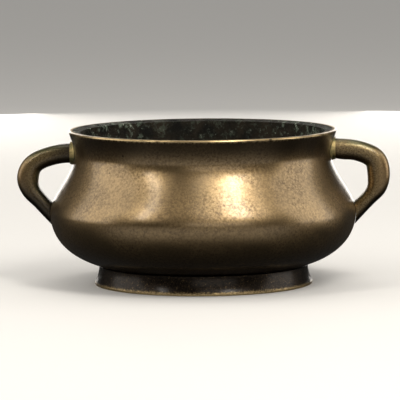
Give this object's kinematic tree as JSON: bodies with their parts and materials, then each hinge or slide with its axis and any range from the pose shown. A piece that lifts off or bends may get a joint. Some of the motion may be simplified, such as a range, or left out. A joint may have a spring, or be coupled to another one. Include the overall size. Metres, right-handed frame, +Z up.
{
  "type": "incense burner",
  "caption": "Squat round bronze bowl with a pinched neck and flared lip, standing on a ring foot, with loop handles on opposite sides for burning incense in ash.",
  "frame": {"origin": "on the supporting surface, below the middle of the bowl", "axes": "+Z up, +X from the bowl's axis towards the right handle, -Y towards the front in the picture"},
  "size_m": [0.25, 0.2044, 0.1032],
  "materials": {
    "body_bronze": "patinated golden brown bronze, rubbed to a soft gloss",
    "foot_bronze": "dark brown patinated bronze, worn bright at its lower edge",
    "handle_bronze": "patinated bronze, greenish on top and brown outside",
    "rivet_bronze": "dull brown hammered rivet heads",
    "braze_metal": "pale yellow braze, dull"
  },
  "bodies": {
    "root": {"vessel": "body_bronze", "foot_ring": "foot_bronze", "foot_braze_seam": "braze_metal", "left_handle": "handle_bronze", "right_handle": "handle_bronze", "left_upper_braze_fillet": "braze_metal", "right_upper_braze_fillet": "braze_metal", "left_upper_rivet": "rivet_bronze", "left_lower_rivet": "rivet_bronze", "right_upper_rivet": "rivet_bronze", "right_lower_rivet": "rivet_bronze"}
  },
  "joints": []
}
